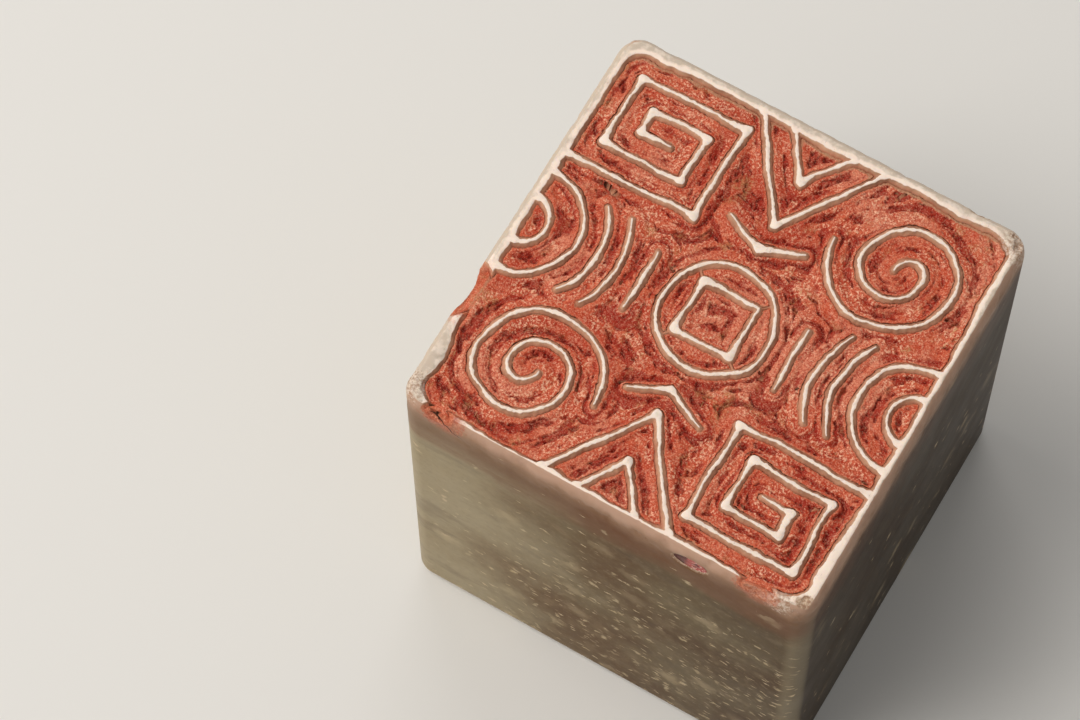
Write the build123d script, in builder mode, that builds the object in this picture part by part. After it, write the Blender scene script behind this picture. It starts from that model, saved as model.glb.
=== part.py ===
from build123d import *
import math
import os

# A square seal stamp of soft stone, standing on its butt end with the printing face up.
# Millimetres, +Z up, origin at the centre of the foot. The lit side looks to -Y.

# Driving dimensions of the stone
block_width = 36.0       # along X
block_depth = 36.0       # along Y
block_height = 39.0
corner_radius = 1.8      # upright edges
shoulder_radius = 0.7    # worn edge round the printing face
foot_radius = 1.0        # worn edge round the foot

# Relief of the printing face
relief_depth = 0.9       # from the printing plane down to the cut ground
flank_draft = 18.0       # slope of every cut flank, degrees from upright
stroke_width = 0.45      # flat top of a raised stroke

# Border ridge, from each side of the block to the cut field
border_left = 0.85
border_right = 0.85
border_back = 1.05
border_front = 0.6

# Stretches where the border has broken away: on the left side as shares of the way from its
# middle to its ends, on the front side as a length and a distance from a corner
left_gap_shares = (-0.545, -0.3)
front_gap_length = 2.8
front_gap_inset = 3.2    # from the right side
corner_gap_length = 2.4
corner_gap_inset = 2.2   # from the left side
edge_break_bite = 0.45   # how far the break beside each gap bites into the side

# Shell-shaped chip below the edge of the lit side
side_chip_radius = 3.0
side_chip_bite = 0.5
side_chip_inset = 10.2   # its centre, from the right side
side_chip_drop = 2.0     # its centre, below the printing plane
side_chip_fill = 0.35    # thickness of the residue in it

# Seal paste left in the hollows
paste_thickness = 0.35
paste_clearance = 0.08   # between the paste and the foot of each flank
spill_margin = 0.8       # bare stone between a spill of paste and the side

overrun = 2.0            # how far a cut runs past what it cuts

# Strokes of the ornament, in shares of the way from the middle of the field to its sides.
# All are repeated half a turn round.
fret_shares = [
    (-1.03, 0.385), (-0.34, 0.385), (-0.34, 0.885), (-0.88, 0.885), (-0.88, 0.51),
    (-0.475, 0.51), (-0.475, 0.76), (-0.75, 0.76), (-0.75, 0.635), (-0.60, 0.635),
]
outer_peak_shares = [(-0.34, 1.03), (0.0, 0.53), (0.34, 1.03)]
inner_peak_shares = [(-0.17, 1.03), (0.0, 0.78), (0.17, 1.03)]
chevron_shares = [(-0.19, 0.48), (0.0, 0.395), (0.19, 0.48)]
bar_shares = [(0.39, -0.16), (0.39, 0.16)]
straight_stroke_shares = [fret_shares, outer_peak_shares, inner_peak_shares, chevron_shares, bar_shares]

# Curled cloud of half rings joined end to end, from the middle outwards
cloud_centre_shares = (0.64, 0.62)
cloud_radius_shares = [0.075, 0.15, 0.225, 0.30]

# Ripples round a point of the border, and half the angle that each one spans
ripple_centre_shares = (1.0, 0.0)
ripple_radius_shares = [0.12, 0.27, 0.385, 0.49]
ripple_half_angles = [104.0, 97.0, 38.0, 29.0]

# Coin in the middle: its ring and its square hole
coin_radius_share = 0.27
coin_hole_share = 0.137

# Places worked out from the sizes
half_width = block_width / 2
half_depth = block_depth / 2
flank_run = relief_depth * math.tan(math.radians(flank_draft))
ground_level = block_height - relief_depth
field_left = -half_width + border_left
field_right = half_width - border_right
field_front = -half_depth + border_front
field_back = half_depth - border_back
middle_x = (field_left + field_right) / 2
middle_y = (field_front + field_back) / 2
reach_x = field_right - middle_x
reach_y = field_back - middle_y
round_reach = min(reach_x, reach_y)
foot_width = stroke_width + 2 * flank_run
left_gap = tuple(share * half_depth for share in left_gap_shares)
front_gap_end = half_width - front_gap_inset
corner_gap_start = -half_width + corner_gap_inset
front_gaps = [
    (front_gap_end - front_gap_length, front_gap_end),
    (corner_gap_start, corner_gap_start + corner_gap_length),
]


# A point of the ornament in millimetres; side -1 is half a turn round
def placed(shares, side=1):
    return (middle_x + side * shares[0] * reach_x, middle_y + side * shares[1] * reach_y)


# Centre lines of the strokes. A curved one is a chain of arcs, each given by its centre, radius,
# start angle and sweep.
straight_strokes = []
curved_strokes = []
for side in (1, -1):
    for shares in straight_stroke_shares:
        with BuildLine() as run:
            Polyline(*[placed(point, side) for point in shares])
        straight_strokes.append(run.line)

    # Curled cloud: each half ring starts where the last one ends
    curl = []
    centre_x, centre_y = placed(cloud_centre_shares, side)
    last_radius = 0
    for turn, share in enumerate(cloud_radius_shares):
        radius = share * round_reach
        swing = side if turn % 2 == 0 else -side
        if turn > 0:
            centre_x += swing * (radius - last_radius)
        curl.append(((centre_x, centre_y), radius, 0 if swing > 0 else 180, 180))
        last_radius = radius
    curved_strokes.append(curl)

    # Ripples that open towards the border
    ripple_centre = placed(ripple_centre_shares, side)
    inward = 180 if side > 0 else 0
    for share, half_angle in zip(ripple_radius_shares, ripple_half_angles):
        ripple = (ripple_centre, share * round_reach, inward - half_angle, 2 * half_angle)
        curved_strokes.append([ripple])


# A chain of arcs as a band with square ends
def draw_curve(arcs, width, mode=Mode.ADD):
    with BuildSketch(mode=Mode.PRIVATE) as band:
        for centre, radius, start_angle, sweep in arcs:
            with BuildLine():
                outer = CenterArc(centre, radius + width / 2, start_angle, sweep)
                inner = CenterArc(centre, radius - width / 2, start_angle, sweep)
                Line(outer @ 0, inner @ 0)
                Line(outer @ 1, inner @ 1)
            make_face()
    add(band.sketch, mode=mode)


# Ring of the coin as a closed band
def draw_coin_ring(width, mode=Mode.ADD):
    radius = coin_radius_share * round_reach
    with BuildSketch(mode=Mode.PRIVATE) as ring:
        with Locations((middle_x, middle_y)):
            Circle(radius + width / 2)
            Circle(radius - width / 2, mode=Mode.SUBTRACT)
    add(ring.sketch, mode=mode)


# Square hole of the coin as a closed band
def draw_coin_hole(width, mode=Mode.ADD):
    side_length = 2 * coin_hole_share * round_reach
    with BuildSketch(mode=Mode.PRIVATE) as hole:
        with Locations((middle_x, middle_y)):
            Rectangle(side_length + width, side_length + width)
            Rectangle(side_length - width, side_length - width, mode=Mode.SUBTRACT)
    add(hole.sketch, mode=mode)


# The cut field drawn in by a margin, with the broken stretches of the border opened to a line
# that lies reach inside or, if negative, outside each side of the block
def draw_field(margin, reach):
    left, right = field_left + margin, field_right - margin
    front, back = field_front + margin, field_back - margin
    spans = [(left, right, front, back)]
    spans.append((-half_width + reach, left + border_left, left_gap[0] + margin, left_gap[1] - margin))
    for start, end in front_gaps:
        spans.append((start + margin, end - margin, -half_depth + reach, front + border_front))
    for low_x, high_x, low_y, high_y in spans:
        with Locations(((low_x + high_x) / 2, (low_y + high_y) / 2)):
            Rectangle(high_x - low_x, high_y - low_y)


# The sawn and rounded block before it is carved
with BuildPart() as blank:
    with BuildSketch() as outline:
        RectangleRounded(block_width, block_depth, corner_radius)
    extrude(amount=block_height)
    fillet(blank.edges().group_by(Axis.Z)[-1], shoulder_radius)
    fillet(blank.edges().group_by(Axis.Z)[0], foot_radius)

# The drafted strokes, each from its foot on the cut ground up to the printing plane
ground_plane = Plane.XY.offset(ground_level)
with BuildPart() as strokes:
    for line in straight_strokes:
        with BuildSketch(ground_plane):
            trace(line, foot_width)
        extrude(amount=relief_depth, taper=flank_draft)
    for arcs in curved_strokes:
        with BuildSketch(ground_plane):
            draw_curve(arcs, foot_width)
        extrude(amount=relief_depth, taper=flank_draft)
    for draw_band in (draw_coin_ring, draw_coin_hole):
        with BuildSketch(ground_plane):
            draw_band(foot_width)
        extrude(amount=relief_depth, taper=flank_draft)

# What the knife takes away: the field, less the strokes that stay standing in it
with BuildPart() as carving:
    with BuildSketch(Plane.XY.offset(block_height)):
        draw_field(0, -overrun)
    extrude(amount=-relief_depth, taper=flank_draft)
    add(strokes.part, mode=Mode.SUBTRACT)


# Radius of the round break that is as long as its gap, and how far outside the side it is centred
def edge_break(gap):
    radius = (((gap[1] - gap[0]) / 2) ** 2 + edge_break_bite**2) / (2 * edge_break_bite)
    return radius, radius - edge_break_bite


left_break_radius, left_break_offset = edge_break(left_gap)
side_chip_offset = side_chip_radius - side_chip_bite
side_chip_place = half_width - side_chip_inset
side_chip_centre = (side_chip_place, -half_depth - side_chip_offset, block_height - side_chip_drop)

with BuildPart() as stone_block:
    add(blank.part)
    add(carving.part, mode=Mode.SUBTRACT)
    with Locations((-half_width - left_break_offset, sum(left_gap) / 2, block_height)):
        Sphere(left_break_radius, mode=Mode.SUBTRACT)
    for gap in front_gaps:
        break_radius, break_offset = edge_break(gap)
        with Locations((sum(gap) / 2, -half_depth - break_offset, block_height)):
            Sphere(break_radius, mode=Mode.SUBTRACT)
    with Locations(side_chip_centre):
        Sphere(side_chip_radius, mode=Mode.SUBTRACT)

# Dark residue that fills the deep part of the side chip
with BuildPart() as paste_side_chip:
    with Locations(side_chip_centre):
        Sphere(side_chip_radius)
    add(blank.part, mode=Mode.INTERSECT)
    fill_front = -half_depth + side_chip_bite - side_chip_fill
    split(bisect_by=Plane.XZ.offset(-fill_front), keep=Keep.BOTTOM)

# Outlines of the paste on the cut ground: one face for each hollow
kept_clear = foot_width + 2 * paste_clearance
with BuildSketch(ground_plane) as paste_outlines:
    draw_field(flank_run + paste_clearance, spill_margin)
    for line in straight_strokes:
        trace(line, kept_clear, mode=Mode.SUBTRACT)
    for arcs in curved_strokes:
        draw_curve(arcs, kept_clear, Mode.SUBTRACT)
    draw_coin_ring(kept_clear, Mode.SUBTRACT)
    draw_coin_hole(kept_clear, Mode.SUBTRACT)

# Where the closed hollows lie: round shares run along the smaller way to the field's sides
coin_hollow_share = (coin_radius_share + coin_hole_share) / 2
wave_inner_share = ripple_radius_shares[0] / 2
wave_outer_share = (ripple_radius_shares[0] + ripple_radius_shares[1]) / 2
peak_inner_shares = (0.0, 0.93)
peak_outer_shares = (0.0, (outer_peak_shares[1][1] + inner_peak_shares[1][1]) / 2)
coin_step = coin_hollow_share * round_reach
wave_inner_step = wave_inner_share * round_reach
wave_outer_step = wave_outer_share * round_reach
hollow_places = {
    "paste_coin_centre": (middle_x, middle_y),
    "paste_coin_right": (middle_x + coin_step, middle_y),
    "paste_coin_left": (middle_x - coin_step, middle_y),
    "paste_coin_back": (middle_x, middle_y + coin_step),
    "paste_coin_front": (middle_x, middle_y - coin_step),
    "paste_wave_inner_right": (field_right - wave_inner_step, middle_y),
    "paste_wave_outer_right": (field_right - wave_outer_step, middle_y),
    "paste_wave_inner_left": (field_left + wave_inner_step, middle_y),
    "paste_wave_outer_left": (field_left + wave_outer_step, middle_y),
    "paste_peak_inner_back": placed(peak_inner_shares),
    "paste_peak_outer_back": placed(peak_outer_shares),
    "paste_peak_inner_front": placed(peak_inner_shares, -1),
    "paste_peak_outer_front": placed(peak_outer_shares, -1),
}


# The paste of one hollow
def deposit(outline_face):
    with BuildPart() as piece:
        extrude(outline_face, amount=paste_thickness, dir=Axis.Z.direction)
    return piece.part


hollows = paste_outlines.sketch.faces()
pieces = {"stone_block": stone_block.part, "paste_side_chip": paste_side_chip.part}
pieces["paste_ground"] = deposit(hollows.sort_by(SortBy.AREA)[-1])
for name, place in hollow_places.items():
    pieces[name] = deposit(hollows.sort_by_distance(Vector(*place, ground_level))[0])

os.makedirs("parts", exist_ok=True)
for name, piece in pieces.items():
    piece.label = name
    export_step(piece, f"parts/{name}.step")
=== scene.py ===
import functools
import math

import bmesh
import bpy
import numpy as np
from mathutils import Matrix, Vector


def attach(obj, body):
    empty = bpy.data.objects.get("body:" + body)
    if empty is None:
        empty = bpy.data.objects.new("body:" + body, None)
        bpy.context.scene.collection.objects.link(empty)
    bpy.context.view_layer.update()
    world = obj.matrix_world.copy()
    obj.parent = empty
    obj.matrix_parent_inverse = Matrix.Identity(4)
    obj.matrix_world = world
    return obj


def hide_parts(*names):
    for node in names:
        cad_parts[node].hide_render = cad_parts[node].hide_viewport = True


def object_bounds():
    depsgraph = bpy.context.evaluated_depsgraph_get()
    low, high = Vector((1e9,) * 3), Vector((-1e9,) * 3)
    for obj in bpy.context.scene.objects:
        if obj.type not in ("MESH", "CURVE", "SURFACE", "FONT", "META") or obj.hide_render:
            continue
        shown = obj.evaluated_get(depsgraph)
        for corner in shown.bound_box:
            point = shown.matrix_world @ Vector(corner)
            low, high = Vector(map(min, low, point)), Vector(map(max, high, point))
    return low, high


# Square seal stamp of soft stone with red seal paste in its carving.
# The scene is in metres; plans and node trees work in millimetres.

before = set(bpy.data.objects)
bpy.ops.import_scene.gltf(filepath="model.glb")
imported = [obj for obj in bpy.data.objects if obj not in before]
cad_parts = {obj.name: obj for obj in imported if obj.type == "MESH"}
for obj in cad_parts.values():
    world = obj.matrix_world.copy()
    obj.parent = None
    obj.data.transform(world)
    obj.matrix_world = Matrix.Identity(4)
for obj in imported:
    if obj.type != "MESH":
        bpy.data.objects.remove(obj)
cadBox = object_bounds()
mm = 0.001
print("frame loaded")

# Sizes shared by the stone and the paste: the same plan as the solids, in millimetres
plan = {
    "fieldLeft": -17.15, "fieldRight": 17.15, "fieldFront": -17.4, "fieldBack": 16.95,
    "printingPlane": 39.0,
    "reliefDepth": 0.9,
    "flankRun": 0.44,          # width of a cut flank, seen from above
    "fieldCorner": 2.0,        # how far the corners of the field are rounded
    "strokeWidth": 0.17,       # flat part of the top, its rounded lips come on top of this
    "wander": 0.17,            # how far the hand strayed from the drawn line
    # broken stretches of the border as round openings: centre and radius
    "openings": [((-18.9, -7.6), 2.8), ((13.4, -18.2), 1.62), ((-14.6, -18.2), 1.45)],
    # places where the border stays wider: centre, how much and how far round
    "swells": [((-17.15, -13.6), 0.7, 3.2), ((17.15, -14.4), 0.35, 3.0), ((17.15, 12.5), 0.3, 3.5)],
    "seed": 4.0,
}

# Ornament in shares of the way from the middle of the field to its sides, repeated half a turn round
ornament = {
    "runs": [
        [(-1.03, 0.385), (-0.34, 0.385), (-0.34, 0.885), (-0.88, 0.885), (-0.88, 0.51),
         (-0.475, 0.51), (-0.475, 0.76), (-0.75, 0.76), (-0.75, 0.635), (-0.60, 0.635)],
        [(-0.34, 1.03), (0.0, 0.53), (0.34, 1.03)],
        [(-0.17, 1.03), (0.0, 0.78), (0.17, 1.03)],
        [(-0.19, 0.48), (0.0, 0.395), (0.19, 0.48)],
        [(0.39, -0.16), (0.39, 0.16)],
    ],
    "cloudCentre": (0.64, 0.62),
    "cloudRadii": [0.075, 0.15, 0.225, 0.30],
    "rippleCentre": (1.0, 0.0),
    "rippleRadii": [0.12, 0.27, 0.385, 0.49],
    "rippleHalfAngles": [104.0, 97.0, 38.0, 29.0],
    "coinRadius": 0.27,
    "coinHole": 0.137,
}

middleX = (plan["fieldLeft"] + plan["fieldRight"]) / 2
middleY = (plan["fieldFront"] + plan["fieldBack"]) / 2
reachX = plan["fieldRight"] - middleX
reachY = plan["fieldBack"] - middleY
roundReach = min(reachX, reachY)


def placed(shares, side=1):
    return (middleX + side * shares[0] * reachX, middleY + side * shares[1] * reachY)


def arcPoints(centre, radius, start, sweep):
    count = max(6, int(abs(sweep) * radius / 12) + 2)
    angles = np.radians(np.linspace(start, start + sweep, count))
    return [(centre[0] + radius * math.cos(a), centre[1] + radius * math.sin(a)) for a in angles]


def addObject(name, data):
    made = bpy.data.objects.new(name, data)
    bpy.context.scene.collection.objects.link(made)
    return made


# Every stroke as a row of points in the plan
def strokeRuns():
    runs = []
    for side in (1, -1):
        runs += [[placed(point, side) for point in run] for run in ornament["runs"]]
        cloud = []
        centreX, centreY = placed(ornament["cloudCentre"], side)
        lastRadius = 0
        for turn, share in enumerate(ornament["cloudRadii"]):
            radius = share * roundReach
            swing = side if turn % 2 == 0 else -side
            if turn > 0:
                centreX += swing * (radius - lastRadius)
            # the first point of a later turn is the last one of the turn before
            half = arcPoints((centreX, centreY), radius, 180 if swing > 0 else 0, -180)
            cloud += half[1:] if turn else half
            lastRadius = radius
        runs.append(cloud)
        inward = 180 if side > 0 else 0
        for share, half in zip(ornament["rippleRadii"], ornament["rippleHalfAngles"]):
            centre = placed(ornament["rippleCentre"], side)
            runs.append(arcPoints(centre, share * roundReach, inward - half, 2 * half))
    hole = ornament["coinHole"] * roundReach
    corners = [(hole, hole), (-hole, hole), (-hole, -hole), (hole, -hole), (hole, hole)]
    runs.append([(middleX + x, middleY + y) for x, y in corners])
    runs.append(arcPoints((middleX, middleY), ornament["coinRadius"] * roundReach, 0, 360))
    return runs


def inField(point, margin=0.6):
    return (plan["fieldLeft"] + margin < point[0] < plan["fieldRight"] - margin
            and plan["fieldFront"] + margin < point[1] < plan["fieldBack"] - margin)


# Guides that the node trees measure from: centre lines, free ends, and corners where strokes meet
def buildGuides():
    linePoints, lineEdges, ends, joints = [], [], [], []
    for run in strokeRuns():
        first = len(linePoints)
        linePoints += run
        lineEdges += [(first + i, first + i + 1) for i in range(len(run) - 1)]
        closed = math.dist(run[0], run[-1]) < 0.01
        for tip in (run[0], run[-1]):
            if inField(tip) and not closed:
                ends.append(tip)
            elif not inField(tip):
                # where a stroke runs into the border
                joints.append((min(max(tip[0], plan["fieldLeft"]), plan["fieldRight"]),
                               min(max(tip[1], plan["fieldFront"]), plan["fieldBack"])))
        for before, point, after in zip(run, run[1:], run[2:]):
            heading = math.atan2(point[1] - before[1], point[0] - before[0])
            turn = math.atan2(after[1] - point[1], after[0] - point[0]) - heading
            if abs(math.sin(turn)) > 0.5:
                joints.append(point)
    guides = {}
    for name, points, edges in (("strokeLines", linePoints, lineEdges), ("strokeEnds", ends, []),
                                ("strokeJoints", joints, [])):
        mesh = bpy.data.meshes.new(name)
        mesh.from_pydata([(x * mm, y * mm, 0) for x, y in points], edges, [])
        guides[name] = addObject(name, mesh)
    return guides


# An output in a node tree: arithmetic on it adds nodes to that tree
class Wire:
    def __init__(self, socket):
        self.socket, self.tree = socket, socket.id_data
        self.isVector = socket.type in ("VECTOR", "RGBA")

    def __add__(self, other):
        return step("ADD", self, other)

    def __sub__(self, other):
        return step("SUBTRACT", self, other)

    def __rsub__(self, other):
        return step("SUBTRACT", other, self)

    def __mul__(self, other):
        return step("MULTIPLY", self, other)

    def __truediv__(self, other):
        return step("DIVIDE", self, other)

    def __abs__(self):
        return step("ABSOLUTE", self)


middleGrey = (0.5, 0.5, 0.5)


def wired(node, output=0):
    return Wire(node.outputs[output])


# A value is a wire or something plain: a number, vector, colour, name or datablock
def feed(value, socket):
    if isinstance(value, Wire):
        value.tree.links.new(value.socket, socket)
    else:
        socket.default_value = value


def feedAll(node, values):
    for key, value in values.items():
        feed(value, node.inputs[key])


def addNode(tree, kind, inputs=(), **settings):
    made = tree.nodes.new(kind)
    for name, value in settings.items():
        setattr(made, name, value)
    feedAll(made, dict(inputs))
    return made


def step(operation, *values):
    tree = next(value.tree for value in values if isinstance(value, Wire))
    vectors = [value for value in values
               if isinstance(value, tuple) or isinstance(value, Wire) and value.isVector]
    if not vectors:
        return wired(addNode(tree, "ShaderNodeMath", enumerate(values), operation=operation))
    if operation == "MULTIPLY" and len(vectors) == 1:
        vector, factor = values
        return wired(addNode(tree, "ShaderNodeVectorMath", {0: vector, "Scale": factor}, operation="SCALE"))
    made = addNode(tree, "ShaderNodeVectorMath", enumerate(values), operation=operation)
    return wired(made, "Value" if operation in ("LENGTH", "DISTANCE") else "Vector")


def smallest(*values):
    return functools.reduce(lambda first, second: step("MINIMUM", first, second), values)


def largest(*values):
    return functools.reduce(lambda first, second: step("MAXIMUM", first, second), values)


def ramp(value, fromLow, fromHigh, toLow=0.0, toHigh=1.0, shape="SMOOTHSTEP"):
    return wired(addNode(value.tree, "ShaderNodeMapRange", {
        "Value": value, "From Min": fromLow, "From Max": fromHigh, "To Min": toLow, "To Max": toHigh},
        interpolation_type=shape), "Result")


def noise(vector, scale, seed=0.0, detail=2.0, roughness=0.5, output="Fac"):
    return wired(addNode(vector.tree, "ShaderNodeTexNoise", {
        "Vector": vector, "W": seed, "Scale": scale, "Detail": detail, "Roughness": roughness},
        noise_dimensions="4D"), output)


def cellular(vector, scale, dimensions):
    return addNode(vector.tree, "ShaderNodeTexVoronoi", {"Vector": vector, "Scale": scale, "Randomness": 1.0},
                   voronoi_dimensions=dimensions, feature="F1")


def parts(vector):
    return [Wire(socket) for socket in addNode(vector.tree, "ShaderNodeSeparateXYZ", {0: vector}).outputs]


def joined(x, y, z):
    return wired(addNode(x.tree, "ShaderNodeCombineXYZ", {0: x, 1: y, 2: z}))


def newTree(name, inputs, outputs):
    tree = bpy.data.node_groups.new(name, "GeometryNodeTree")
    for side, sockets in (("INPUT", inputs), ("OUTPUT", outputs)):
        for label, kind in sockets:
            tree.interface.new_socket(name=label, in_out=side, socket_type="NodeSocket" + kind)
    given = {socket.name: Wire(socket) for socket in tree.nodes.new("NodeGroupInput").outputs if socket.name}
    result = tree.nodes.new("NodeGroupOutput").inputs
    return tree, given, result


def addTree(piece, tree, values):
    modifier = piece.modifiers.new(tree.name, "NODES")
    modifier.node_group = tree
    for item in tree.interface.items_tree:
        if item.in_out == "INPUT" and item.name in values:
            modifier[item.identifier] = values[item.name]


# Plain mesh of what a piece's modifiers give
def baked(piece, name):
    graph = bpy.context.evaluated_depsgraph_get()
    mesh = bpy.data.meshes.new_from_object(piece.evaluated_get(graph), depsgraph=graph)
    mesh.name = name
    return mesh


# Shared rule of the carving: how far a point lies outside the flat top of the nearest stroke or border
guideInputs = [("Position", "Vector"), ("Strokes", "Object"), ("Stroke Ends", "Object"),
               ("Stroke Joints", "Object"), ("Stroke Width", "Float"), ("Wander", "Float"), ("Seed", "Float")]


def buildReliefRule():
    tree, given, result = newTree(
        "reliefRule", guideInputs, [("Clearance", "Float"), ("Groove Frame", "Vector")])
    flat = given["Position"] * (1, 1, 0)
    seed = given["Seed"]
    stray = (noise(flat, 0.22, seed, 1.0, output="Color") - middleGrey) * (given["Wander"] * 5.0)
    shake = (noise(flat, 1.1, seed, 1.0, output="Color") - middleGrey) * (given["Wander"] * 1.3)
    drawn = (flat + (stray + shake)) * (1, 1, 0)

    def measure(guide, element):
        target = wired(addNode(tree, "GeometryNodeObjectInfo", {"Object": given[guide]}), "Geometry")
        near = addNode(tree, "GeometryNodeProximity", {0: target}, target_element=element)
        feed(drawn * mm, [socket for socket in near.inputs if socket.type == "VECTOR"][0])
        return wired(near, "Distance") * (1 / mm), wired(near, "Position") * (1 / mm)

    away, nearest = measure("Strokes", "EDGES")
    fromEnd = measure("Stroke Ends", "POINTS")[0]
    fromJoint = measure("Stroke Joints", "POINTS")[0]

    # Half the stroke's width: uneven by hand, thin at free ends, filled out where strokes meet
    uneven = (noise(flat, 0.8, seed, 3.0) - 0.5) * 0.3
    ragged = (noise(flat, 3.2, seed, 2.0) - 0.5) * 0.17
    half = given["Stroke Width"] * 0.5 + (uneven + ragged) - ramp(fromEnd, 0.0, 1.5, 0.09, 0.0)
    half = half + ramp(fromJoint, 0.1, 0.65, 0.24, 0.0) + ramp(fromJoint, 0.3, 2.0, 0.07, 0.0)
    fromStroke = away - largest(half, 0.03)

    # The cut field inside the border, with the broken stretches opened
    x, y, _ = parts(drawn)
    rough = (noise(flat, 0.9, seed, 4.0, 0.6) - 0.5) * 0.55
    acrossX, acrossY = abs(x - middleX), abs(y - middleY)
    bend = plan["fieldCorner"]
    pastX = largest(acrossX - (reachX - bend), 0.0)
    pastY = largest(acrossY - (reachY - bend), 0.0)
    corner = bend - step("LENGTH", joined(pastX, pastY, 0.0))
    inside = smallest(corner, reachX - acrossX, reachY - acrossY) + rough
    for centre, swell, spread in plan["swells"]:
        inside = inside - ramp(step("DISTANCE", flat, (*centre, 0.0)), 0.0, spread, swell, 0.0)
    for centre, radius in plan["openings"]:
        opened = radius - step("DISTANCE", drawn, (*centre, 0.0))
        inside = largest(inside, smallest(opened + rough, 0.7 * plan["flankRun"]))
    clearance = smallest(fromStroke, inside)

    # Low ridges left between the corners of the coin's hole and its ring
    ridge = abs(acrossX - acrossY) * 0.7 + 0.42 * plan["flankRun"]
    hole, ring = ornament["coinHole"] * roundReach, ornament["coinRadius"] * roundReach
    fromMiddle = step("LENGTH", joined(acrossX, acrossY, 0.0))
    beyond = ramp(smallest(acrossX, acrossY), hole - 0.3, hole, 5.0, 0.0)
    beyond = beyond + ramp(fromMiddle, ring - 0.2, ring + 0.2, 0.0, 5.0)
    clearance = smallest(clearance, ridge + beyond)

    feed(clearance, result["Clearance"])
    nearX, nearY, _ = parts(nearest)
    feed(joined(nearX, nearY, away), result["Groove Frame"])
    return tree


def placeReliefRule(tree, rule, given, position):
    made = addNode(tree, "GeometryNodeGroup", node_tree=rule)
    feedAll(made, {"Position": position, **{label: given[label] for label, _ in guideInputs[1:]}})
    return wired(made, "Clearance"), wired(made, "Groove Frame")


def keep(geometry, name, value, kind="FLOAT"):
    made = addNode(geometry.tree, "GeometryNodeStoreNamedAttribute", {"Geometry": geometry, "Name": name},
                   data_type=kind, domain="POINT")
    feed(value, [socket for socket in made.inputs if socket.name == "Value" and socket.enabled][0])
    return wired(made)


def kept(tree, name, kind="FLOAT"):
    return wired(addNode(tree, "GeometryNodeInputNamedAttribute", {"Name": name}, data_type=kind))


def pointPlace(tree):
    return wired(tree.nodes.new("GeometryNodeInputPosition")) * (1 / mm)


def finished(geometry, material, result):
    realized = addNode(geometry.tree, "GeometryNodeRealizeInstances", {"Geometry": geometry})
    painted = addNode(geometry.tree, "GeometryNodeSetMaterial", {
        "Geometry": wired(realized), "Material": material})
    feed(wired(painted), result["Geometry"])


# The stone: a rounded block whose printing face is carved by the rule
block = {
    "halfSide": 18.0, "height": 39.0,
    "cornerRadius": 1.8, "shoulderRun": 0.62, "footRadius": 1.0,
    "shoulderDrop": 1.35,       # on the front and right; the back and left keep a tighter edge
    "tightDrop": 0.6,
    "wear": 0.22,               # how deep the outside of the border is worn at most
    "topSteps": 560,            # mesh steps across the printing face
    "fineDepth": 5.2,           # how far down the walls keep a fine mesh, with rings this far apart
    "fineStep": 0.22,
    "keptFaces": 192000,        # triangles after thinning
    # broken places as centre, radius, stretch of each axis and how rough they are
    "breaks": [
        ((-23.15, -7.6, 39.0), 5.6, (1, 1, 1), 0.30),
        ((13.4, -20.0, 39.0), 2.45, (1, 1, 1), 0.30),
        ((-14.6, -19.6, 39.0), 2.0, (1, 1, 1), 0.26),
        ((7.8, -20.5, 37.0), 3.0, (1.0, 1.0, 0.62), 0.12),
        ((4.6, 19.2, 40.1), 1.75, (0.45, 1, 1), 0.30),
        ((13.4, 20.3, 40.0), 2.9, (1, 1, 1), 0.30),
        ((17.6, 17.4, 40.15), 1.6, (1, 1, 1), 0.8),
        ((19.6, -13.0, 40.2), 2.25, (1, 1, 1), 0.30),
        ((20.3, 4.6, 39.7), 2.45, (1, 1, 1), 0.25),
        ((-19.9, 12.6, 40.4), 2.45, (1, 1, 1), 0.25),
        ((-20.4, 3.2, 40.0), 2.7, (1, 1, 1), 0.25),
        ((-3.2, -19.3, 39.9), 1.7, (1.6, 1, 1), 0.30),
        ((17.2, -17.2, 40.1), 1.35, (1, 1, 1), 0.7),
    ],
}


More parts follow.
